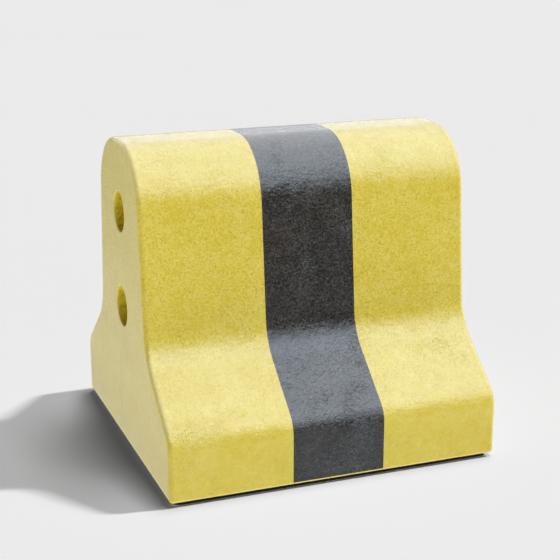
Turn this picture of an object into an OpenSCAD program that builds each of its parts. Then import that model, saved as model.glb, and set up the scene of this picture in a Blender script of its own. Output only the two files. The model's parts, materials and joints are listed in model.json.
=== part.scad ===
// Short barrier block of reinforced concrete, with two pipe holes along its length.
// X runs along the block, Y across it from front (-Y) to rear, and Z is up.
// The origin is the middle of the base pad's underside. Millimetres.

/* [Block] */
// Length of the painted block
block_len = 540; // [440:10:800]
// Height of the block above its pad
block_h = 500; // [490:5:560]
// Width across the toes
base_w = 515; // [500:5:560]
// Height of the upright toe face
toe_h = 98; // [90:1:105]
// Width where the slope would meet the stem, without the round between them
waist_w = 280; // [276:1:300]
// Height of that corner
waist_h = 194; // [185:1:200]
// Lean of the stem's faces, in degrees
stem_draft = 5.3; // [4:0.1:6]
// Radius of the rounded edge at the foot of the toe
foot_r = 6; // [5.5:0.5:9]
// Radius of the rounded edge at the top of the toe
toe_r = 40; // [20:1:45]
// Radius of the hollow between slope and stem
waist_r = 85; // [50:1:95]
// Radius of the two rounded shoulders of the crown
crown_r = 98; // [85:1:100]

// How far the concrete's edges are broken at the two ends, under the paint
end_break = 2; // [1:0.5:3]

/* [Pipe holes] */
// Bore of each pipe sleeve
hole_d = 65; // [40:1:70]
// Wall of each pipe sleeve
sleeve_wall = 3; // [2:0.5:4]
// Height of the upper hole's axis above the block's underside
upper_hole_z = 387; // [380:1:390]
// Height of the lower hole's axis above the block's underside
lower_hole_z = 232; // [225:1:240]

/* [Paint] */
// Thickness of the yellow coat
coat_t = 1.2; // [0.8:0.1:2]
// Thickness of the black stripe, let into the coat
stripe_t = 0.5; // [0.3:0.1:0.6]
// Width of the black stripe
stripe_w = 150; // [60:5:240]
// Bare margin between the stripe and the block's lower edge
stripe_margin = 4; // [2:1:20]

/* [Base pad] */
// Thickness of the rubber pad under the block
pad_t = 6; // [4:1:12]
// How far the pad's edge stands back from the block's edge
pad_inset = 8; // [4:1:20]
// Radius of the pad's corners
pad_corner_r = 12; // [5:1:25]

/* [Reinforcement] */
// Least concrete cover over the ties
cover = 35; // [33:1:37]
// Diameter of the hoops, ties and saddle bars
hoop_d = 8; // [6:1:8]
// Diameter of the straight bars
bar_d = 10; // [8:1:10]
// Diameter of the binding wire
wire_d = 1.6; // [1.2:0.2:1.6]

/* [Hidden] */
$fn = 48;
arc_step = 3;                  // degrees between the points of the outline's rounds
gap = 1;                       // concrete between two bars that cross
end_cover = 60;                // from the block's end to the outer hoops
bar_end_cover = 40;            // from the block's end to the ends of the straight bars
tie_bend_r = 20;               // centre-line radius of a tie's bends
hoop_bend_r = 50;              // centre-line radius of a hoop's two shoulders
foot_bend_r = 20;              // centre-line radius above a hoop's feet
leg_y = 80;                    // half the distance between a hoop's legs
hoop_top_z = block_h - cover - hoop_d / 2;
foot_z = 63;                   // height of a hoop's feet
foot_reach = base_w / 2 - 57;  // from the block's middle to the tip of a foot
tie_half_w = base_w / 2 - 67;
tie_low_z = cover + hoop_d / 2;
tie_high_z = tie_low_z + 62;
tie_corner_inset = 13;         // from a tie's centre line to a bar nested in its bend
hoop_corner_inset = 22;        // from a hoop's centre line to a bar nested in its shoulder
upper_bar_z = (upper_hole_z + lower_hole_z) / 2;
lower_bar_z = lower_hole_z - 22;
saddle_len = 190;
wire_slack = 1.7;              // between a wire loop and the two bars that it ties
wire_tail_len = 14;
cover_block_y = 0.28 * base_w;
sleeve_d = hole_d + 2 * sleeve_wall;
steel = "#6f5f52";
sides = [["front", -1], ["rear", 1]];
hoop_count = 4;

// A straight line of the half outline is [unit normal, distance from the block's bottom centre].
slope_normal = unit([waist_h - toe_h, (base_w - waist_w) / 2]);
stem_normal = [cos(stem_draft), sin(stem_draft)];
toe_line = [[1, 0], base_w / 2];
slope_line = [slope_normal, slope_normal * [base_w / 2, toe_h]];
stem_line = [stem_normal, stem_normal * [waist_w / 2, waist_h]];
crown_line = [[0, 1], block_h];

// How far the paint reaches under the block
hem_w = foot_r + 1;

// Centres of the outline's rounds
foot_c = [base_w / 2 - foot_r, foot_r];
toe_c = meet(moved_in(toe_line, toe_r), moved_in(slope_line, toe_r));
waist_c = meet(moved_in(slope_line, -waist_r), moved_in(stem_line, -waist_r));
crown_c = meet(moved_in(stem_line, crown_r), moved_in(crown_line, crown_r));

// The straight bars that come in a front and rear pair, as [name, [y, z]]
paired_bars = [
    ["crown_bar", [leg_y - hoop_corner_inset, hoop_top_z - hoop_corner_inset]],
    ["upper_stem_bar", [leg_y - (hoop_d + bar_d) / 2 - gap, upper_bar_z]],
    ["lower_stem_bar", [leg_y - (hoop_d + bar_d) / 2 - gap, lower_bar_z]],
    ["toe_bar", [tie_half_w - tie_corner_inset, tie_high_z - tie_corner_inset]],
    ["base_bar", [tie_half_w - tie_corner_inset, tie_low_z + tie_corner_inset]]
];
middle_bar_z = tie_low_z + (hoop_d + bar_d) / 2 + gap;

function unit(v) = v / norm(v);
function moved_in(line, d) = [line[0], line[1] - d];
function meet(a, b) =
    let (det = cross(a[0], b[0]))
    [(a[1] * b[0].y - b[1] * a[0].y) / det, (b[1] * a[0].x - a[1] * b[0].x) / det];
function heading(v) = atan2(v.y, v.x);
function arc(centre, r, from, to) =
    let (steps = ceil(abs(to - from) / arc_step))
    [for (k = [0:steps]) let (a = from + (to - from) * k / steps) centre + r * [cos(a), sin(a)]];
function flipped(p) = [-p.x, p.y];
function hoop_x(i) = (block_len / 2 - end_cover) * (2 * i - hoop_count - 1) / (hoop_count - 1);
// A tie or saddle bar lies beside its hoop, on the side towards the block's middle.
function tie_x(i) = hoop_x(i) - sign(hoop_x(i)) * (hoop_d + 2 * gap);

// Stands a drawing in Y and Z upright on the pad, and runs its thickness along X.
module upright() {
    translate([0, 0, pad_t]) rotate([90, 0, 90]) children();
}

// The block's cross-section, moved in all round by a depth
module outline(depth) {
    slope_turn = heading(slope_normal);
    half = concat(
        arc(foot_c, foot_r - depth, -90, 0),
        arc(toe_c, toe_r - depth, 0, slope_turn),
        arc(waist_c, waist_r + depth, 180 + slope_turn, 180 + stem_draft),
        arc(crown_c, crown_r - depth, stem_draft, 90)
    );
    polygon(concat(half, [for (i = [len(half) - 1:-1:0]) flipped(half[i])]));
}

module outline_bar(depth, length) {
    upright() linear_extrude(length, center = true) outline(depth);
}

// A round bar along X at a height above the block's underside
module along(y, z, d, length) {
    translate([0, y, z + pad_t]) rotate([0, 90, 0]) cylinder(h = length, d = d, center = true);
}

// A bar bent in one plane through a list of corners. Each bend is [corner, radius]; an end has radius 0.
module bent_bar(bends, d, closed = false) {
    n = len(bends);
    ends = closed ? 0 : 1;
    function at(i) = bends[(i + n) % n][0];
    function turn(i) =
        let (a = at(i) - at(i - 1), b = at(i + 1) - at(i))
        atan2(cross(a, b), a * b);
    function setback(i) =
        bends[i % n][1] == 0 ? 0 : bends[i % n][1] * tan(abs(turn(i)) / 2);
    for (i = [0:n - 1 - ends]) {
        way = unit(at(i + 1) - at(i));
        straight = norm(at(i + 1) - at(i)) - setback(i) - setback(i + 1);
        translate(at(i) + way * setback(i)) rotate([0, 90, heading(way)]) cylinder(h = straight, d = d);
    }
    for (i = [ends:n - 1 - ends]) {
        way_in = unit(at(i) - at(i - 1));
        left = sign(turn(i));
        start = left > 0 ? heading(way_in) - 90 : heading(unit(at(i + 1) - at(i))) + 90;
        centre = at(i) - way_in * setback(i) + left * bends[i][1] * [-way_in.y, way_in.x];
        translate(centre) rotate(start) rotate_extrude(angle = abs(turn(i)))
            translate([bends[i][1], 0]) circle(d = d);
    }
}

module stem_hoop(i) {
    half = [[[foot_reach, foot_z], 0], [[leg_y, foot_z], foot_bend_r], [[leg_y, hoop_top_z], hoop_bend_r]];
    path = concat(half, [for (k = [2:-1:0]) [flipped(half[k][0]), half[k][1]]]);
    color(steel) translate([hoop_x(i), 0, 0]) upright() bent_bar(path, hoop_d);
}

module base_tie(i) {
    half = [[tie_half_w, tie_low_z], [tie_half_w, tie_high_z]];
    path = [for (corner = concat(half, [flipped(half[1]), flipped(half[0])])) [corner, tie_bend_r]];
    color(steel) translate([tie_x(i), 0, 0]) upright() bent_bar(path, hoop_d, closed = true);
}

module straight_bar(y, z) {
    color(steel) along(y, z, bar_d, block_len - 2 * bar_end_cover);
}

module middle_base_bar() {
    straight_bar(0, middle_bar_z);
}

// Cross bars that carry a sleeve, one beside each hoop
module sleeve_saddles(hole_z) {
    z = hole_z - sleeve_d / 2 - gap - hoop_d / 2;
    color(steel) for (i = [1:hoop_count])
        translate([tie_x(i), 0, z + pad_t]) rotate([90, 0, 0])
            cylinder(h = saddle_len, d = hoop_d, center = true);
}

module upper_sleeve_saddles() {
    sleeve_saddles(upper_hole_z);
}

module lower_sleeve_saddles() {
    sleeve_saddles(lower_hole_z);
}

module pipe_sleeve(hole_z) {
    length = block_len - 2 * coat_t;
    color("#d8bf3c") difference() {
        along(0, hole_z, sleeve_d, length);
        along(0, hole_z, hole_d, length + 2);
    }
}

module upper_pipe_sleeve() {
    pipe_sleeve(upper_hole_z);
}

module lower_pipe_sleeve() {
    pipe_sleeve(lower_hole_z);
}

// One loop of wire around a leg and a straight bar, slanted across the crossing, with its twisted tail
module wire_loop(x, side, z) {
    reach = (hoop_d + bar_d + gap) / 2;
    loop_r = reach + wire_slack + wire_d / 2;
    loop_y = leg_y + hoop_d / 2 - reach;
    translate([x, side * loop_y, z + pad_t]) rotate([0, 45, 0]) {
        rotate_extrude() translate([loop_r, 0]) circle(d = wire_d);
        translate([0, -side * loop_r, 0]) rotate([side * 90, 0, 0]) cylinder(h = wire_tail_len, d = 1.5 * wire_d);
    }
}

module binding_wires() {
    color("#4d4a47") for (i = [1:hoop_count])
        for (side = sides)
            for (z = [upper_bar_z, lower_bar_z])
                wire_loop(hoop_x(i), side[1], z);
}

// Round blocks that hold the ties off the mould's floor
module cover_blocks() {
    foot_d = 32;
    top_d = 22;
    color("#9c988d") for (i = [1:hoop_count])
        for (side = sides)
            translate([tie_x(i), side[1] * cover_block_y, pad_t])
                cylinder(h = cover - gap, d1 = foot_d, d2 = top_d);
}

// Round distance pieces between the outer hoops' legs and the faces of the stem
module side_spacers() {
    spacer_d = 16;
    inner_y = leg_y + hoop_d / 2 + gap;
    color("#4a4d50") for (i = [1, hoop_count])
        for (side = sides)
            intersection() {
                translate([hoop_x(i), side[1] * inner_y, upper_bar_z + pad_t])
                    rotate([-side[1] * 90, 0, 0]) cylinder(h = waist_w, d = spacer_d);
                outline_bar(coat_t, block_len);
            }
}

// The whole casting with nothing cut out. Paint fills the broken edges at its ends,
// and a hem of paint surrounds the foot, which goes down past the underside by a depth.
module casting(foot_depth) {
    outline_bar(coat_t, block_len - 2 * (coat_t + end_break));
    outline_bar(coat_t + end_break, block_len - 2 * coat_t);
    translate([0, 0, pad_t - foot_depth]) linear_extrude(foot_depth + 2 * coat_t)
        square([block_len - 2 * hem_w, base_w - 2 * hem_w], center = true);
}

module concrete_body() {
    color("#b7b3a9") difference() {
        casting(0);
        for (z = [upper_hole_z, lower_hole_z])
            along(0, z, sleeve_d, block_len);
        for (i = [1:hoop_count]) {
            stem_hoop(i);
            base_tie(i);
        }
        for (bar = paired_bars)
            for (side = sides)
                straight_bar(side[1] * bar[1].x, bar[1].y);
        middle_base_bar();
        upper_sleeve_saddles();
        lower_sleeve_saddles();
        binding_wires();
        cover_blocks();
        side_spacers();
    }
}

// The stripe wraps the front, crown and rear; the coat below it is that much thinner.
module black_stripe() {
    color("#2a2a2b") difference() {
        outline_bar(0, stripe_w);
        outline_bar(stripe_t, stripe_w + 2);
        translate([0, 0, pad_t]) cube([stripe_w + 2, base_w + 2, 2 * stripe_margin], center = true);
    }
}

module yellow_coat() {
    color("#e3cf4e") difference() {
        outline_bar(0, block_len);
        casting(1);
        for (z = [upper_hole_z, lower_hole_z])
            along(0, z, hole_d, block_len + 2);
        black_stripe();
    }
}

module base_pad() {
    half_x = block_len / 2 - pad_inset;
    half_y = base_w / 2 - pad_inset;
    corner = [half_x - pad_corner_r, half_y - pad_corner_r];
    color("#1b1b1c") linear_extrude(pad_t) union() {
        square(2 * [half_x, corner.y], center = true);
        square(2 * [corner.x, half_y], center = true);
        for (x = [-corner.x, corner.x])
            for (y = [-corner.y, corner.y])
                translate([x, y]) circle(r = pad_corner_r);
    }
}

concrete_body();
yellow_coat();
black_stripe();
base_pad();
upper_pipe_sleeve();
lower_pipe_sleeve();
upper_sleeve_saddles();
lower_sleeve_saddles();
for (i = [1:hoop_count])
    stem_hoop(i);
for (i = [1:hoop_count])
    base_tie(i);
for (bar = paired_bars)
    for (side = sides)
        straight_bar(side[1] * bar[1].x, bar[1].y);
middle_base_bar();
binding_wires();
cover_blocks();
side_spacers();
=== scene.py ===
import json
import math

import bmesh
import bpy
import numpy as np
from mathutils import Matrix, Vector, noise
from mathutils.geometry import delaunay_2d_cdt


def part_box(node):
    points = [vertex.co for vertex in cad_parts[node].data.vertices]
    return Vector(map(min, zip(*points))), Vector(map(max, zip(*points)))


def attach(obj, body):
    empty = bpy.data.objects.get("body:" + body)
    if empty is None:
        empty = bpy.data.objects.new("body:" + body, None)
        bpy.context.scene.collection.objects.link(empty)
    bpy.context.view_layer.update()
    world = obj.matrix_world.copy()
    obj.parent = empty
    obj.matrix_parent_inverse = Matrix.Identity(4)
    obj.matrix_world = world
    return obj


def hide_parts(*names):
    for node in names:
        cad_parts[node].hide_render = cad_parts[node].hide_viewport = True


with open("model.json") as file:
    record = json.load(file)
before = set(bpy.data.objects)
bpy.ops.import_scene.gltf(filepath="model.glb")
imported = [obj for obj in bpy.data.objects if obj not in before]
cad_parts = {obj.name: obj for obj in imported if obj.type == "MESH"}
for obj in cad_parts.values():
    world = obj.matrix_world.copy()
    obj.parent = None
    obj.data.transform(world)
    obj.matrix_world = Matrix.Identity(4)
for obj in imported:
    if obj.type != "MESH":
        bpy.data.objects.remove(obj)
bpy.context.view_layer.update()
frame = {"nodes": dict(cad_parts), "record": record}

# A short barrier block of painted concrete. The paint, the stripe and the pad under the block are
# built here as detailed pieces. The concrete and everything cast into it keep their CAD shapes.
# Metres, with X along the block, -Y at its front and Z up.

coat_lo, coat_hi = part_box("yellow_coat")
stripe_lo, stripe_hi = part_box("black_stripe")
pad_lo, pad_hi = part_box("base_pad")
HALF_LENGTH = coat_hi.x
HALF_WIDTH = coat_hi.y
CROWN_Z = coat_hi.z
FOOT_Z = coat_lo.z
STRIPE_HALF = stripe_hi.x
STRIPE_FOOT_Z = stripe_lo.z

# The holes through the length, as (height, radius)
HOLES = [
    (mount["pos_m"][2], mount["dims"]["r_mm"] / 1000)
    for mount in frame["record"]["mounts"]
    if mount["kind"] == "bore"
]

# The cross-section and the paint, which have the same sizes as the CAD model's. The stripe lies in
# a recess that is deeper than it by the gap.
TOE_H = 0.098
WAIST_HALF = 0.140
WAIST_H = 0.194
STEM_DRAFT = math.radians(5.3)
FOOT_R = 0.006
TOE_R = 0.040
WAIST_R = 0.085
CROWN_R = 0.098
COAT_T = 0.0012
STRIPE_T = 0.0005
STRIPE_GAP = 0.00002
HEM_W = 0.007
HEM_X = HALF_LENGTH - HEM_W
HEM_Y = HALF_WIDTH - HEM_W

# Rounds that only the paint's own surface has: the edges at both ends, and the rims of the holes
ARRIS_R = 0.0068
RIM_W = 0.0034

# Distances between mesh points: over the block, over the foot's round, under the block, over the
# two ends, and inside the coat
SKIN_STEP = 0.0030
FOOT_STEP = 0.0014
UNDER_STEP = 0.012
END_STEP = 0.0042
INNER_STEP = 0.016

# How many parts the rounded rims of the holes have, from the end's face inwards
RIM_STEPS = 8

# Lengths below this count as nothing, and points this near are one
NEAR = 1e-7
MERGED = 5e-7

# Edges that turn more than this stay sharp
SHARP = math.radians(40)


# ---------------------------------------------------------------- the cross-section

def turned(angle):
    """The unit vector at an angle up from level"""
    return np.array((math.cos(angle), math.sin(angle)))


def round_centre(line_a, line_b, radius):
    """The centre of the round between two lines, each given as (outward normal, offset)"""
    (normal_a, offset_a), (normal_b, offset_b) = line_a, line_b
    offsets = np.array((offset_a - radius, offset_b - radius))
    return np.linalg.solve(np.array((normal_a, normal_b)), offsets)


SLOPE_ANGLE = math.atan2(HALF_WIDTH - WAIST_HALF, WAIST_H - TOE_H)
TOE_LINE = (turned(0), HALF_WIDTH)
SLOPE_LINE = (turned(SLOPE_ANGLE), turned(SLOPE_ANGLE) @ (HALF_WIDTH, FOOT_Z + TOE_H))
STEM_LINE = (turned(STEM_DRAFT), turned(STEM_DRAFT) @ (WAIST_HALF, FOOT_Z + WAIST_H))
CROWN_LINE = (turned(math.pi / 2), CROWN_Z)

FOOT_CENTRE = np.array((HALF_WIDTH - FOOT_R, FOOT_Z + FOOT_R))
TOE_CENTRE = round_centre(TOE_LINE, SLOPE_LINE, TOE_R)
WAIST_CENTRE = round_centre(SLOPE_LINE, STEM_LINE, -WAIST_R)
CROWN_CENTRE = round_centre(STEM_LINE, CROWN_LINE, CROWN_R)


def arc(centre, radius, start, stop, step):
    """Points on an arc with their outward normals. A hollow's radius is negative."""
    count = max(3, math.ceil(abs((stop - start) * radius) / step))
    return [
        (centre + radius * turned(a), turned(a)) for a in np.linspace(start, stop, count + 1)
    ]


def cross_section(step):
    """The closed cross-section as (points, normals), from the front hem over the crown to the
    rear hem, with the underside last."""
    down, up = turned(-math.pi / 2), turned(math.pi / 2)
    margin_turn = math.asin((STRIPE_FOOT_Z - FOOT_CENTRE[1]) / FOOT_R)
    fine = min(step, FOOT_STEP)
    pieces = [
        [(np.array((HEM_Y, FOOT_Z)), down)],
        arc(FOOT_CENTRE, FOOT_R, -math.pi / 2, margin_turn, fine),
        arc(FOOT_CENTRE, FOOT_R, margin_turn, 0, fine)[1:],
        arc(TOE_CENTRE, TOE_R, 0, SLOPE_ANGLE, step),
        arc(WAIST_CENTRE, -WAIST_R, SLOPE_ANGLE, STEM_DRAFT, step),
        arc(CROWN_CENTRE, CROWN_R, STEM_DRAFT, math.pi / 2, step),
    ]
    half = list(pieces[0])
    for piece in pieces[1:]:
        (start, _), (stop, normal) = half[-1], piece[0]
        gap = np.linalg.norm(stop - start)
        count = math.ceil(gap / step)
        half += [(start + (stop - start) * k / count, normal) for k in range(1, count)]
        if gap < NEAR:
            piece = piece[1:]
        half += piece
    crown_gap = 2 * half[-1][0][0]
    count = math.ceil(crown_gap / step)
    flat = [(half[-1][0] - (crown_gap * k / count, 0), up) for k in range(1, count)]
    front = [(p * (-1, 1), n * (-1, 1)) for p, n in half]
    ring = front + flat[::-1] + half[::-1]
    count = math.ceil(2 * HEM_Y / UNDER_STEP)
    for k in range(1, count):
        ring.append((np.array((HEM_Y - 2 * HEM_Y * k / count, FOOT_Z)), down))
    return np.array([p for p, _ in ring]), np.array([n for _, n in ring])


def inside_hem(ring, normals):
    """Which points of the cross-section lie on the underside, at the hem's inner edge or past it"""
    downward = np.abs(normals[:, 1] + 1) < NEAR
    return downward & (np.abs(ring[:, 0]) < HEM_Y + NEAR)


# ---------------------------------------------------------------- the paint's relief

# The paint's unevenness: waves per metre, height and a shift that keeps the layers apart. It fades
# out towards edges, beginning a little way off the foot and the rims.
RELIEF = ((26, 0.00011, 3.1), (62, 0.00007, 17.3), (118, 0.00004, 41.9))
FOOT_CLEAR = 0.002
RIM_CLEAR = 0.001
ARRIS_FADE = 0.006
EDGE_FADE = 0.008
END_SHARE = 0.6


def relief(point):
    """How far the paint's surface lies inside its greatest size at a point"""
    depth = 0
    for frequency, size, shift in RELIEF:
        place = Vector(point) * frequency + Vector((shift, 2 * shift, -shift))
        depth += size * (1 + noise.noise(place))
    return depth


def fade(distance, width):
    """Rises smoothly from 0 at no distance to 1 at the width"""
    t = min(max(distance / width, 0), 1)
    return t * t * (3 - 2 * t)


# ---------------------------------------------------------------- mesh building

class Mesher:
    """Collects faces. Points that coincide become one vertex, and faces left with fewer than three
    corners are dropped."""

    def __init__(self):
        self.points = []
        self.faces = []
        self.index = {}

    def vertex(self, point):
        """The number of the vertex at a point, which is new if none is there"""
        key = tuple(round(c / MERGED) for c in point)
        if key not in self.index:
            self.index[key] = len(self.points)
            self.points.append(tuple(point))
        return self.index[key]

    def face(self, *corners):
        loop = []
        for corner in corners:
            if corner not in loop:
                loop.append(corner)
        if len(loop) > 2:
            self.faces.append(loop)

    def grid(self, rows, closed=False, keep=None):
        """Quads between rows of vertices. keep(row, column) says whether to make one."""
        columns = len(rows[0]) - (0 if closed else 1)
        for i in range(len(rows) - 1):
            for j in range(columns):
                if keep is None or keep(i, j):
                    k = (j + 1) % len(rows[0])
                    self.face(rows[i][j], rows[i][k], rows[i + 1][k], rows[i + 1][j])

    def object(self, name):
        mesh = bpy.data.meshes.new(name)
        mesh.from_pydata(self.points, [], self.faces)
        mesh.validate()
        shell = bmesh.new()
        shell.from_mesh(mesh)
        unused = [v for v in shell.verts if not v.link_faces]
        bmesh.ops.delete(shell, geom=unused, context="VERTS")
        bmesh.ops.recalc_face_normals(shell, faces=shell.faces)
        shell.to_mesh(mesh)
        shell.free()
        mesh.polygons.foreach_set("use_smooth", [True] * len(mesh.polygons))
        mesh.set_sharp_from_angle(angle=SHARP)
        piece = bpy.data.objects.new(name, mesh)
        bpy.context.scene.collection.objects.link(piece)
        return piece


def filled(mesher, loops, x, interior=(), depth_at=None):
    """Fills the area inside the first loop and outside the others, on the plane at x. loops are
    lists of vertices. interior is a list of (y, z) points, which depth_at moves off the plane."""
    points = []
    edges = []
    owners = []
    for loop in loops:
        start = len(points)
        count = len(loop)
        points += [Vector(mesher.points[v][1:]) for v in loop]
        owners += loop
        edges += [(start + k, start + (k + 1) % count) for k in range(count)]
    for y, z in interior:
        points.append(Vector((y, z)))
        owners.append(mesher.vertex((x + depth_at(y, z), y, z)))
    places, _, faces, origins, _, _ = delaunay_2d_cdt(points, edges, [], 0, NEAR)
    names = []
    for place, origin in zip(places, origins):
        names.append(owners[origin[0]] if origin else mesher.vertex((x, place.x, place.y)))
    outlines = [np.array([mesher.points[v][1:] for v in loop]) for loop in loops]
    for face in faces:
        middle = sum((places[k] for k in face), Vector((0, 0))) / len(face)
        if sum(contains(outline, middle) for outline in outlines) == 1:
            mesher.face(*[names[k] for k in face])


def contains(loop, point):
    """Whether a closed loop of (y, z) points goes round a point"""
    y, z = loop[:, 0], loop[:, 1]
    y2, z2 = np.roll(y, -1), np.roll(z, -1)
    crossing = (z > point[1]) != (z2 > point[1])
    with np.errstate(divide="ignore", invalid="ignore"):
        at = (y2 - y) * (point[1] - z) / (z2 - z) + y
    return int(np.count_nonzero(crossing & (point[0] < at)) % 2)


# Rows of equal-sided triangles are this share of a side apart
ROW_SHARE = 0.87


def triangular_grid(loops, step, clearance):
    """(y, z) points in staggered rows inside the first loop and outside the others, clear of all"""
    lows, highs = loops[0].min(0), loops[0].max(0)
    edge_points = np.concatenate(loops)
    found = []
    z = lows[1] + step
    row = 0
    while z < highs[1]:
        y = lows[0] + step * (0.5 if row % 2 else 1)
        while y < highs[0]:
            if sum(contains(loop, (y, z)) for loop in loops) == 1:
                gaps = ((edge_points - (y, z)) ** 2).sum(1)
                if gaps.min() > clearance**2:
                    found.append((y, z))
            y += step
        z += step * ROW_SHARE
        row += 1
    return found


def circle_points(radius, height, count=72):
    turns = [2 * math.pi * k / count for k in range(count)]
    return [(radius * math.cos(t), height + radius * math.sin(t)) for t in turns]


# ---------------------------------------------------------------- the yellow coat

def arris_columns(length, radius, steps):
    """(x, inset) over an end's rounded edge, from the end inwards. inset is how far the section
    moves in."""
    turns = np.linspace(0, math.pi / 2, steps + 1)
    return [(length - radius * (1 - math.cos(t)), radius * (1 - math.sin(t))) for t in turns]


def moved_in(point, normal, depth, inset):
    """A point of the cross-section, moved in by depth. Where the inset is more than the foot's
    radius, the foot ends in a corner and doesn't fold over."""
    y, z = point - normal * depth
    widest = HALF_WIDTH - inset
    return min(max(y, -widest), widest), max(z, FOOT_Z + inset)


EDGE = arris_columns(HALF_LENGTH, ARRIS_R, steps=7)
INNER_EDGE = arris_columns(HALF_LENGTH - COAT_T, ARRIS_R - COAT_T, steps=3)


def coat_columns():
    """The coat's sections from the left end to the right one, as (x, inset, in_stripe)"""
    side = np.linspace(HEM_X, STRIPE_HALF, math.ceil((HEM_X - STRIPE_HALF) / SKIN_STEP) + 1)
    stripe_count = math.ceil(STRIPE_HALF / SKIN_STEP)
    stripe = np.linspace(-STRIPE_HALF, STRIPE_HALF, stripe_count + 1)
    left = [(-x, inset, False) for x, inset in EDGE] + [(-x, 0, False) for x in side]
    right = [(-x, inset, False) for x, inset, _ in left[::-1]]
    return left + [(x, 0, True) for x in stripe] + right


def coat_skin(mesher):
    """The coat's outer surface, as (rows of vertices, the underside's part of a row)"""
    ring, normals = cross_section(SKIN_STEP)
    under = inside_hem(ring, normals)
    columns = coat_columns()

    def skin_point(x, inset, in_stripe, j, low):
        """Point j of the section at x. low keeps it on the coat, out of the stripe's recess."""
        p, n = ring[j], normals[j]
        depth = inset
        if in_stripe and p[1] > STRIPE_FOOT_Z - NEAR and not low:
            depth += STRIPE_T + STRIPE_GAP
        height = p[1] - FOOT_Z
        if not under[j] and height > 0:
            share = fade(HALF_LENGTH - abs(x) - ARRIS_R, ARRIS_FADE)
            share *= fade(height - FOOT_CLEAR, EDGE_FADE)
            if share:
                depth += share * relief((x, p[0], p[1]))
        return (x, *moved_in(p, n, depth, inset))

    # Two points of the ring are there twice: on the coat, and at the foot of the stripe's recess
    order = []
    for j, p in enumerate(ring):
        at_foot = abs(p[1] - STRIPE_FOOT_Z) < NEAR
        levels = ((j, True), (j, False)) if p[0] < 0 else ((j, False), (j, True))
        order += levels if at_foot else ((j, False),)
    rows = [[mesher.vertex(skin_point(*column, j, low)) for j, low in order] for column in columns]

    def keep(i, k):
        """Everything but the underside between the hems, where the block is bare"""
        here, there = order[k][0], order[(k + 1) % len(order)][0]
        between_hems = max(abs(columns[i][0]), abs(columns[i + 1][0])) < HEM_X + NEAR
        return not (under[here] and under[there] and between_hems)

    mesher.grid(rows, closed=True, keep=keep)
    underside = [k for k, (j, _) in enumerate(order) if under[j]]
    return rows, sorted(underside, key=lambda k: ring[order[k][0]][0])


def coat_inside(mesher):
    """The coat's inner surface, which nothing shows, as (rows, the underside's part of a row)"""
    ring, normals = cross_section(INNER_STEP)
    under = inside_hem(ring, normals)
    left = [(-x, inset) for x, inset in INNER_EDGE] + [(-HEM_X, 0)]
    rows = []
    for x, inset in left + [(-x, inset) for x, inset in left[::-1]]:
        depth = COAT_T + inset
        section = [moved_in(p, n, depth, depth) for p, n in zip(ring, normals)]
        rows.append([mesher.vertex((x, *place)) for place in section])

    def keep(i, j):
        """As on the outer surface. Between the hems there is only one span of the length."""
        return not (under[j] and under[(j + 1) % len(ring)] and i == len(INNER_EDGE))

    mesher.grid(rows, closed=True, keep=keep)
    return rows, sorted(np.flatnonzero(under), key=lambda j: ring[j][0])


def coat_end(mesher, side, outer_row, inner_row):
    """One end of the coat, at the side -1 or 1, with the rounded rims of the holes"""
    end_x = side * HALF_LENGTH
    rims, backs = [], []
    for z, radius in HOLES:
        rings = []
        for t in np.linspace(0, math.pi / 2, RIM_STEPS + 1):
            x = side * (HALF_LENGTH - COAT_T * (1 - math.cos(t)))
            wide = radius + RIM_W * (1 - math.sin(t))
            rings.append([mesher.vertex((x, *p)) for p in circle_points(wide, z)])
        mesher.grid(rings, closed=True)
        rims.append(rings[0])
        backs.append(rings[-1])
    loops = [list(dict.fromkeys(outer_row))] + rims
    outlines = [np.array([mesher.points[v][1:] for v in loop]) for loop in loops]
    edge_points = np.concatenate(outlines)

    def end_depth(y, z):
        gap = math.sqrt(((edge_points - (y, z)) ** 2).sum(1).min())
        return -side * END_SHARE * fade(gap - RIM_CLEAR, EDGE_FADE) * relief((end_x, y, z))

    interior = triangular_grid(outlines, END_STEP, clearance=0.6 * END_STEP)
    filled(mesher, loops, end_x, interior, end_depth)
    filled(mesher, [list(dict.fromkeys(inner_row))] + backs, end_x - side * COAT_T)


def coat_hem(mesher, rows, underside, inner_rows, inner_underside):
    """The edge of the paint under the block, between the outer and inner surfaces"""
    first, last = len(EDGE), len(rows) - 1 - len(EDGE)
    inner_first, inner_last = len(INNER_EDGE), len(INNER_EDGE) + 1
    for side in (0, -1):
        outer_line = [row[underside[side]] for row in rows[first : last + 1]]
        j = inner_underside[side]
        mesher.face(*outer_line, inner_rows[inner_last][j], inner_rows[inner_first][j])
    for i, inner_i in ((first, inner_first), (last, inner_last)):
        outer_line = [rows[i][k] for k in underside]
        mesher.face(*outer_line, *[inner_rows[inner_i][j] for j in inner_underside[::-1]])


def build_coat():
    mesher = Mesher()
    rows, underside = coat_skin(mesher)
    inner_rows, inner_underside = coat_inside(mesher)
    coat_end(mesher, -1, rows[0], inner_rows[0])
    coat_end(mesher, 1, rows[-1], inner_rows[-1])
    coat_hem(mesher, rows, underside, inner_rows, inner_underside)
    return mesher


# ---------------------------------------------------------------- the black stripe

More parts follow.
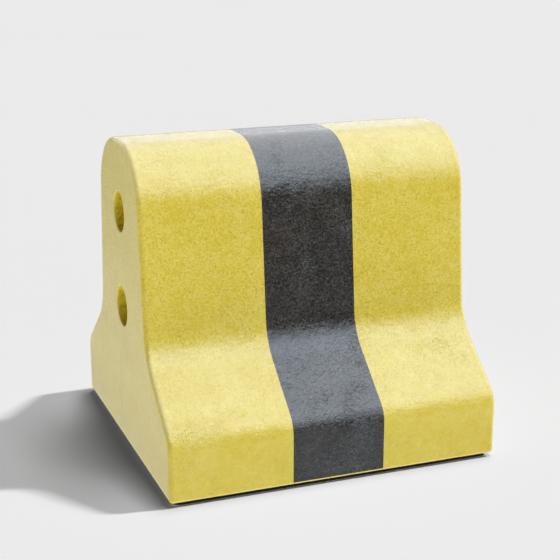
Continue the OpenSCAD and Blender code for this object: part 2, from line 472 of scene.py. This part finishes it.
def build_stripe():
    mesher = Mesher()
    ring, normals = cross_section(SKIN_STEP)
    above_margin = [(p, n) for p, n in zip(ring, normals) if p[1] > STRIPE_FOOT_Z - NEAR]
    count = math.ceil(2 * STRIPE_HALF / SKIN_STEP)
    across = np.linspace(-STRIPE_HALF, STRIPE_HALF, count + 1)

    def row(x, depth):
        found = []
        for p, n in above_margin:
            share = fade(p[1] - FOOT_Z - FOOT_CLEAR, EDGE_FADE)
            inset = depth + share * relief((x, p[0], p[1]))
            found.append(mesher.vertex((x, p[0] - n[0] * inset, p[1] - n[1] * inset)))
        return found

    top = [row(x, 0) for x in across]
    bottom = [row(x, STRIPE_T) for x in across]
    mesher.grid(top)
    mesher.grid([r[::-1] for r in bottom])
    mesher.grid([top[0], bottom[0]])
    mesher.grid([bottom[-1], top[-1]])
    for k in (0, -1):
        mesher.grid([[r[k] for r in top], [r[k] for r in bottom]])
    return mesher


# ---------------------------------------------------------------- the base pad

PAD_CORNER_R = 0.012
PAD_BEVEL = 0.0008
PAD_BEVEL_STEPS = 3
PAD_STEP = 0.003

# The grain of the pad's sides: height, waves per metre, and the width over which it fades
PAD_GRAIN = 0.00035
PAD_GRAIN_PITCH = 420
PAD_GRAIN_FADE = 0.001


def pad_outline(step):
    """The pad's rounded rectangle as (points, normals)"""
    corner = np.array((pad_hi.x - PAD_CORNER_R, pad_hi.y - PAD_CORNER_R))
    found = []
    for quarter, (sx, sy) in enumerate(((1, 1), (-1, 1), (-1, -1), (1, -1))):
        start = quarter * math.pi / 2
        found += arc(corner * (sx, sy), PAD_CORNER_R, start, start + math.pi / 2, step)
    ring = []
    for k, (p, n) in enumerate(found):
        ring.append((p, n))
        q, _ = found[(k + 1) % len(found)]
        gap = np.linalg.norm(q - p)
        if gap > 2 * step:
            count = math.ceil(gap / step)
            ring += [(p + (q - p) * i / count, n) for i in range(1, count)]
    return ring


def build_pad():
    mesher = Mesher()
    ring = pad_outline(PAD_STEP)
    height = pad_hi.z - pad_lo.z
    levels = []
    for t in np.linspace(0, math.pi / 2, PAD_BEVEL_STEPS + 1):
        levels.append((PAD_BEVEL * (1 - math.cos(t)), PAD_BEVEL * (1 - math.sin(t))))
    inner_heights = np.linspace(PAD_BEVEL, height - PAD_BEVEL, 4)[1:-1]
    profile = levels + [(z, 0) for z in inner_heights]
    profile += [(height - z, d) for z, d in levels[::-1]]
    rows = []
    for z, inset in profile:
        grain = fade(z, PAD_GRAIN_FADE) * fade(height - z, PAD_GRAIN_FADE)
        row = []
        for p, n in ring:
            place = Vector((p[0], p[1], z)) * PAD_GRAIN_PITCH
            bumps = PAD_GRAIN * grain * (1 + noise.noise(place)) / 2
            q = p - n * (inset + bumps)
            row.append(mesher.vertex((q[0], q[1], pad_lo.z + z)))
        rows.append(row)
    mesher.grid(rows, closed=True)
    mesher.face(*rows[0][::-1])
    mesher.face(*rows[-1])
    return mesher


# ---------------------------------------------------------------- materials
# Scales and pitches are in features per metre. The numbers after a value in span are the ends of
# its range and what they become. All were set by measured brightness, next to the photo.

class NodeTree:
    """A node tree, built from short calls. A value is a number, a colour or a node's output."""

    def __init__(self, tree):
        self.tree = tree

    def add(self, kind):
        return self.tree.nodes.new("ShaderNode" + kind)

    def link(self, value, socket):
        if isinstance(value, bpy.types.NodeSocket):
            self.tree.links.new(value, socket)
        elif isinstance(value, tuple):
            socket.default_value = (*value, 1)
        else:
            socket.default_value = value

    def math(self, operation, a, b=0.0):
        node = self.add("Math")
        node.operation = operation
        self.link(a, node.inputs[0])
        self.link(b, node.inputs[1])
        return node.outputs[0]

    def mapped(self, kind, value, low, high, to_low, to_high):
        """Runs from to_low, where the value is low, to to_high, where it is high"""
        node = self.add("MapRange")
        node.interpolation_type = kind
        self.link(value, node.inputs["Value"])
        self.link(low, node.inputs["From Min"])
        self.link(high, node.inputs["From Max"])
        self.link(to_low, node.inputs["To Min"])
        self.link(to_high, node.inputs["To Max"])
        return node.outputs["Result"]


class Shader(NodeTree):
    """A material, whose textures lie in the object's own space"""

    def __init__(self, name):
        self.material = bpy.data.materials.new(name)
        self.material.use_nodes = True
        super().__init__(self.material.node_tree)
        self.bsdf = self.tree.nodes["Principled BSDF"]
        self.place = self.add("TexCoord").outputs["Object"]

    def noise(self, scale, detail=2.0, roughness=0.5, distortion=0.0):
        node = self.add("TexNoise")
        self.link(self.place, node.inputs["Vector"])
        self.link(scale, node.inputs["Scale"])
        self.link(detail, node.inputs["Detail"])
        self.link(roughness, node.inputs["Roughness"])
        self.link(distortion, node.inputs["Distortion"])
        return node.outputs["Fac"]

    def cells(self, scale):
        node = self.add("TexVoronoi")
        self.link(self.place, node.inputs["Vector"])
        self.link(scale, node.inputs["Scale"])
        return node.outputs["Distance"]

    def span(self, value, low, high, to_low, to_high):
        return self.mapped("SMOOTHSTEP", value, low, high, to_low, to_high)

    def mix(self, factor, a, b):
        node = self.add("Mix")
        node.data_type = "RGBA"
        self.link(factor, node.inputs["Factor"])
        self.link(a, node.inputs["A"])
        self.link(b, node.inputs["B"])
        return node.outputs["Result"]

    def axis(self, name):
        """The place's X, Y or Z, in metres"""
        node = self.add("SeparateXYZ")
        self.link(self.place, node.inputs["Vector"])
        return node.outputs[name]

    def finish(self, colour, roughness, height, **settings):
        """Sets the surface up and returns its material. height is in metres, and settings are the
        surface's other inputs."""
        bump = self.add("Bump")
        self.link(1.0, bump.inputs["Strength"])
        self.link(1.0, bump.inputs["Distance"])
        self.link(height, bump.inputs["Height"])
        self.link(bump.outputs["Normal"], self.bsdf.inputs["Normal"])
        self.link(colour, self.bsdf.inputs["Base Color"])
        self.link(roughness, self.bsdf.inputs["Roughness"])
        for key, value in settings.items():
            self.link(value, self.bsdf.inputs[key.replace("_", " ")])
        return self.material


# Where looks change over a height, or over a distance from the middle of the length
STEM_FOOT = (FOOT_Z + WAIST_H - 0.03, FOOT_Z + WAIST_H + 0.01)
STEM_TOP = (CROWN_Z - 0.09, CROWN_Z - 0.03)
# Below these heights the paint is darkened towards the foot, as painted shade from the floor
FOOT_SHADE_TOP = (0.04, 0.12)
END = (HALF_LENGTH - 0.006, HALF_LENGTH - 0.001)
SPRAY = (HALF_LENGTH - 0.16, HALF_LENGTH - 0.10)


def on_stem(shader):
    """1 on the upright stem and 0 on the toe, the slope and the crown"""
    height = shader.axis("Z")
    above = shader.span(height, *STEM_FOOT, 0, 1)
    return shader.math("MULTIPLY", above, shader.span(height, *STEM_TOP, 1, 0))


def orange_peel(shader, size, pitch):
    """Height, in metres, of the fine wrinkles of thick paint, which are bumps with narrow creases
    between them. Some patches wrinkle more than others. The stem and the ends are flatter."""
    waves = shader.noise(pitch, detail=2.5, roughness=0.55, distortion=0.9)
    creased = shader.math("ABSOLUTE", shader.math("SUBTRACT", waves, 0.5))
    strength = shader.span(on_stem(shader), 0, 1, 2.0, 1.1)
    wrinkles = shader.math("MULTIPLY", creased, strength)
    swells = shader.math("MULTIPLY", shader.noise(110, detail=1.5), 0.8)
    patches = shader.span(shader.noise(14, detail=2), 0.54, 0.70, 0.9 * size, 1.8 * size)
    from_middle = shader.math("ABSOLUTE", shader.axis("X"))
    end = shader.span(from_middle, *END, 1.0, 0.45)
    folds = shader.math("MULTIPLY", shader.math("ADD", wrinkles, swells), patches)
    return shader.math("MULTIPLY", folds, end)


def enamel(name, colour, pale, deep, size, pitch):
    """Thick gloss paint, uneven in large and small patches. The stem is speckled more strongly, and
    the foot is darkened with painted shade. size and pitch are the wrinkles'."""
    shader = Shader(name)
    stem = on_stem(shader)
    tone = 0.5
    for scale in (16, 70):
        clouds = shader.noise(scale, detail=3, roughness=0.6)
        tone = shader.math("ADD", tone, shader.span(clouds, 0.32, 0.68, -0.15, 0.15))
    grain = shader.span(shader.noise(360, detail=2, roughness=0.6), 0.34, 0.66, -0.2, 0.2)
    grain = shader.math("MULTIPLY", grain, shader.span(stem, 0, 1, 0.9, 2.3))
    tone = shader.math("ADD", tone, grain)
    base = shader.mix(shader.span(tone, 0.1, 0.5, 0, 1), deep, colour)
    base = shader.mix(shader.span(tone, 0.5, 0.9, 0, 1), base, pale)
    # Painted shade: the paint darkens towards the foot, where the floor would shade it
    foot_shade = shader.span(shader.axis("Z"), *FOOT_SHADE_TOP, 0.3, 0.0)
    most_specks = shader.span(stem, 0, 1, 0.5, 0.9)
    specks = shader.span(shader.noise(270, detail=2), 0.56, 0.72, 0, most_specks)
    # Dark specks of dirt and the painted shade at the foot both take this colour
    specks_and_foot_shade = tuple(0.8 * c for c in deep)
    base = shader.mix(shader.math("MAXIMUM", foot_shade, specks), base, specks_and_foot_shade)
    # The paint throws a little grey light on the floor, as it does in plain studio light
    bounced = shader.add("LightPath").outputs["Is Diffuse Ray"]
    base = shader.mix(bounced, base, (0.15, 0.15, 0.15))
    shader.link(shader.span(bounced, 0, 1, 0.5, 0.0), shader.bsdf.inputs["Specular IOR Level"])
    roughness = shader.span(shader.noise(60, detail=2), 0.3, 0.7, 0.06, 0.11)
    return shader.finish(base, roughness, orange_peel(shader, size, pitch), IOR=1.5)


def yellow_enamel():
    colour, pale, deep = (0.80, 0.655, 0.088), (0.85, 0.72, 0.155), (0.735, 0.58, 0.050)
    return enamel("yellow_enamel", colour, pale, deep, size=0.0009, pitch=210)


def black_enamel():
    colour, pale, deep = (0.043, 0.039, 0.033), (0.076, 0.070, 0.061), (0.024, 0.021, 0.017)
    return enamel("black_enamel", colour, pale, deep, size=0.0011, pitch=220)


# The pad is rubber made near black, so that it also stands for the contact shadow under the block:
# partly real rubber, partly painted shade
def rubber():
    shader = Shader("granulated_rubber_as_contact_shade")
    granules = shader.cells(380)
    tone = shader.span(granules, 0.2, 0.7, 0, 1)
    # Painted shade: these near-black tones stand for the contact shadow line under the block
    base = shader.mix(tone, (0.003, 0.003, 0.003), (0.010, 0.010, 0.010))
    roughness = shader.span(granules, 0, 1, 0.8, 0.95)
    height = shader.math("MULTIPLY", granules, 0.0004)
    return shader.finish(base, roughness, height, Specular_IOR_Level=0.1)


def cast_concrete():
    shader = Shader("cast_concrete")
    cloud = shader.noise(22, detail=6, roughness=0.65)
    grit = shader.noise(700, detail=3)
    pores = shader.span(shader.cells(95), 0.0, 0.16, 0, 1)
    base = shader.mix(shader.span(cloud, 0.3, 0.7, 0, 1), (0.36, 0.34, 0.31), (0.50, 0.48, 0.44))
    base = shader.mix(pores, (0.16, 0.15, 0.14), base)
    rough = shader.math("MULTIPLY", grit, 0.00025)
    height = shader.math("ADD", rough, shader.math("MULTIPLY", pores, 0.0006))
    return shader.finish(base, 0.88, height)


def mortar():
    shader = Shader("cement_mortar")
    cloud = shader.noise(60, detail=5)
    base = shader.mix(shader.span(cloud, 0.3, 0.7, 0, 1), (0.30, 0.29, 0.27), (0.46, 0.45, 0.42))
    height = shader.math("MULTIPLY", shader.noise(900, detail=3), 0.0003)
    return shader.finish(base, 0.92, height)


def rolled_steel():
    shader = Shader("rolled_steel")
    rust = shader.span(shader.noise(90, detail=5, roughness=0.6), 0.42, 0.62, 0, 1)
    base = shader.mix(rust, (0.13, 0.12, 0.12), (0.24, 0.10, 0.045))
    roughness = shader.span(rust, 0, 1, 0.45, 0.85)
    height = shader.math("MULTIPLY", shader.noise(500, detail=3), 0.0003)
    return shader.finish(base, roughness, height, Metallic=0.55)


def annealed_wire():
    shader = Shader("annealed_wire")
    tone = shader.span(shader.noise(700, detail=3), 0.3, 0.7, 0, 1)
    base = shader.mix(tone, (0.07, 0.065, 0.06), (0.15, 0.13, 0.12))
    height = shader.math("MULTIPLY", shader.noise(2400), 0.00006)
    return shader.finish(base, 0.5, height, Metallic=0.6)


def moulded_plastic():
    shader = Shader("moulded_plastic")
    tone = shader.span(shader.noise(120, detail=3), 0.3, 0.7, 0, 1)
    base = shader.mix(tone, (0.055, 0.062, 0.070), (0.075, 0.083, 0.092))
    height = shader.math("MULTIPLY", shader.noise(1500), 0.00004)
    return shader.finish(base, 0.45, height)


def sprayed_sleeve():
    """The pipe's own plastic, with yellow paint sprayed in from its mouths. The rim is painted
    paler, as a painted highlight where the mouth catches light.
    """
    shader = Shader("sprayed_sleeve")
    from_middle = shader.math("ABSOLUTE", shader.axis("X"))
    drift = shader.span(shader.noise(45, detail=4), 0.2, 0.8, -0.035, 0.035)
    ragged = shader.math("ADD", from_middle, drift)
    painted = shader.span(ragged, *SPRAY, 0, 1)
    tone = shader.span(shader.noise(210, detail=4, roughness=0.65), 0.32, 0.6, 0, 1)
    plastic = shader.mix(tone, (0.30, 0.23, 0.10), (0.36, 0.28, 0.12))
    paint = shader.mix(tone, (0.55, 0.41, 0.014), (0.83, 0.67, 0.035))
    # Painted highlight: the paint is lightened at the mouth, where the rounded rim catches light
    painted_rim_highlight = shader.span(from_middle, *END, 0, 1)
    paint = shader.mix(painted_rim_highlight, paint, (0.90, 0.79, 0.22))
    base = shader.mix(painted, plastic, paint)
    roughness = shader.span(painted, 0, 1, 0.55, 0.3)
    height = shader.math("MULTIPLY", shader.noise(260, detail=2), 0.0001)
    return shader.finish(base, roughness, height, Specular_IOR_Level=0.15)


# ---------------------------------------------------------------- the pieces

def add_piece(mesher, name, material, replaced):
    piece = mesher.object(name)
    piece.data.materials.append(material)
    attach(piece, "root")
    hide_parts(replaced)


add_piece(build_coat(), "yellow_paint_coat", yellow_enamel(), "yellow_coat")
add_piece(build_stripe(), "black_paint_stripe", black_enamel(), "black_stripe")
# The pad's near-black colour is partly painted shade for the contact line under the block
add_piece(build_pad(), "rubber_pad_and_contact_shade", rubber(), "base_pad")

# Everything that isn't named here is a steel bar
STEEL = rolled_steel()
SLEEVE = sprayed_sleeve()
CAST_IN = {
    "concrete_body": cast_concrete(),
    "binding_wires": annealed_wire(),
    "cover_blocks": mortar(),
    "side_spacers": moulded_plastic(),
    "upper_pipe_sleeve": SLEEVE,
    "lower_pipe_sleeve": SLEEVE,
}
for name, node in frame["nodes"].items():
    node.data.materials.clear()
    node.data.materials.append(CAST_IN.get(name, STEEL))


# ---------------------------------------------------------------- the floor and the lights

AIM = Vector((0, 0, 0.253))
CAMERA_AT = Vector((-0.74125, -1.96615, 0.8715))

# The floor is flat and made in rings. The first is tiny, because a wide face in the middle left a
# mark on the pad that lies on it.
FLOOR_RADII = (0.001, 0.8, 5, 25, 90)
FLOOR_SIDES = 96

# The strip lights are so far away that the whole floor gets the same light from them
STRIP_DISTANCE = 1500


def build_floor():
    """An even floor that takes the shadow. The light that comes up from it is the world's own."""
    mesher = Mesher()
    rows = []
    for radius in FLOOR_RADII:
        rows.append([mesher.vertex((*p, 0)) for p in circle_points(radius, 0, FLOOR_SIDES)])
    mesher.grid(rows, closed=True)
    mesher.face(*rows[0])
    floor = mesher.object("studio_floor")
    shader = Shader("studio_floor")
    tone = shader.span(shader.noise(0.6, detail=2), 0.3, 0.7, 0, 1)
    base = shader.mix(tone, (0.992, 0.992, 0.992), (0.998, 0.998, 0.998))
    diffuse = shader.add("BsdfDiffuse")
    shader.link(base, diffuse.inputs["Color"])
    output = shader.tree.nodes["Material Output"]
    shader.link(diffuse.outputs["BSDF"], output.inputs["Surface"])
    floor.data.materials.append(shader.material)
    floor.visible_glossy = False
    floor.visible_diffuse = False


def strip_light(name, elevation, turned_by, spread, radiance):
    """A far light at the right of the block, turned about the upright from the X axis. spread is
    how many degrees it covers upwards and sideways. It casts the floor's shadow and makes no
    reflection."""
    light = bpy.data.lights.new(name, "AREA")
    light.shape = "RECTANGLE"
    upwards, sideways = (2 * STRIP_DISTANCE * math.tan(math.radians(s) / 2) for s in spread)
    light.size, light.size_y = upwards, sideways
    light.energy = radiance * light.size * light.size_y * math.pi
    lamp = bpy.data.objects.new(name, light)
    turn = Matrix.Rotation(math.radians(turned_by), 4, "Z")
    turn @= Matrix.Rotation(math.radians(90 - elevation), 4, "Y")
    lamp.matrix_world = Matrix.Translation(AIM) @ turn @ Matrix.Translation((0, 0, STRIP_DISTANCE))
    lamp.visible_glossy = False
    lamp.visible_camera = False
    bpy.context.scene.collection.objects.link(lamp)


# ---------------------------------------------------------------- the world

# Radiance of the room, as (height of the direction, radiance), from -1 below to 1 overhead: what
# the gloss of the paint sees at the front and at the rear, and what lights everything
GLOSS_FRONT = (
    (-1, 1.1), (-0.40, 1.1), (-0.30, 0.5), (-0.20, 0.08), (-0.05, 0.02), (0.10, 0.04), (0.24, 0.15),
    (0.34, 0.65), (0.40, 1.5), (0.48, 3.4), (0.58, 4.7), (0.72, 5.7), (0.9, 6.0), (1, 4.1),
)
GLOSS_REAR = (
    (-1, 0.70), (-0.37, 0.70), (-0.29, 0.65), (-0.20, 0.44), (-0.02, 0.5), (0.02, 1.6), (0.28, 1.6),
    (0.42, 1.8), (0.52, 1.95), (0.60, 2.3), (0.70, 4.0), (0.80, 5.4), (0.90, 4.1), (1, 3.1),
)
FILL_SKY = ((-1, 1.74), (0.08, 1.74), (0.16, 0.1), (0.30, 0.0), (1, 0.0))

# The fill is this many times as strong at the left and at the right, and this strong from below
FILL_SIDES = (0.5, 1.5)
FILL_BELOW = 1.36

# The directions between which front gloss gives way to rear gloss, and light from below to sky
GLOSS_CHANGE = (-0.2, 0.4)
FILL_CHANGE = (-0.02, 0)

# The room that the camera sees, and the colours of the light
ROOM = 0.84
WHITE = (1, 1, 1)
FRONT_TINT = (0.875, 1.0, 1.16)
REAR_TINT = (0.96, 1.0, 1.06)
FILL_TINT = (1.0, 0.985, 0.96)


class World(NodeTree):
    """The world, whose values depend on a ray's direction"""

    def __init__(self, name):
        self.data = bpy.data.worlds.new(name)
        self.data.use_nodes = True
        super().__init__(self.data.node_tree)
        self.tree.nodes.clear()
        self.axes = self.add("SeparateXYZ")
        self.link(self.add("TexCoord").outputs["Generated"], self.axes.inputs["Vector"])
        self.ray = self.add("LightPath").outputs

    def across(self, axis, low, high, at_low, at_high):
        """A value that runs evenly from one to another along an axis of the direction"""
        return self.mapped("LINEAR", self.axes.outputs[axis], low, high, at_low, at_high)

    def by_height(self, stops):
        """A value given at some heights of the direction, and straight between them"""
        node = self.add("FloatCurve")
        self.link(self.across("Z", -1, 1, 0, 1), node.inputs["Value"])
        curve = node.mapping.curves[0]
        top = max(value for _, value in stops)
        while len(curve.points) < len(stops):
            curve.points.new(0.5, 0.5)
        for point, (height, value) in zip(curve.points, stops):
            point.location = ((height + 1) / 2, value / top)
            point.handle_type = "VECTOR"
        node.mapping.update()
        return self.math("MULTIPLY", node.outputs["Value"], top)

    def background(self, colour, strength):
        node = self.add("Background")
        self.link(colour, node.inputs["Color"])
        self.link(strength, node.inputs["Strength"])
        return node.outputs["Background"]

    def choose(self, factor, a, b):
        """The background a where the factor is 0, and b where it is 1"""
        node = self.add("MixShader")
        self.link(factor, node.inputs["Fac"])
        self.link(a, node.inputs[1])
        self.link(b, node.inputs[2])
        return node.outputs["Shader"]


def build_world():
    """Camera rays see a pale room. Glossy rays see a broad soft light overhead. Diffuse rays see a
    room that is lit from below and near the horizon, and dark above."""
    world = World("studio")
    front = world.background(FRONT_TINT, world.by_height(GLOSS_FRONT))
    rear = world.background(REAR_TINT, world.by_height(GLOSS_REAR))
    gloss = world.choose(world.across("Y", *GLOSS_CHANGE, 0, 1), front, rear)
    sky = world.by_height(FILL_SKY)
    sky = world.math("MULTIPLY", sky, world.across("X", -1, 1, *FILL_SIDES))
    fill = world.background(FILL_TINT, world.across("Z", *FILL_CHANGE, FILL_BELOW, sky))
    surface = world.choose(world.ray["Is Glossy Ray"], world.background(WHITE, ROOM), gloss)
    surface = world.choose(world.ray["Is Diffuse Ray"], surface, fill)
    world.link(surface, world.add("OutputWorld").inputs["Surface"])
    world.data.cycles.sampling_method = "NONE"
    bpy.context.scene.world = world.data


def build_camera():
    """The photo's view, as it was fitted to the block's outline"""
    camera_data = bpy.data.cameras.new("camera")
    camera_data.lens = 84.67
    camera_data.sensor_width = 36
    camera_data.clip_end = 500
    camera = bpy.data.objects.new("camera", camera_data)
    camera.location = CAMERA_AT
    camera.rotation_euler = (AIM - CAMERA_AT).to_track_quat("-Z", "Y").to_euler()
    bpy.context.scene.collection.objects.link(camera)
    bpy.context.scene.camera = camera


build_floor()
build_world()
strip_light("strip_low", elevation=46.5, turned_by=-8, spread=(8, 2.9), radiance=252)
strip_light("strip_high", elevation=79, turned_by=0, spread=(20, 28), radiance=7.6)
build_camera()
bpy.context.scene.view_settings.view_transform = "Standard"
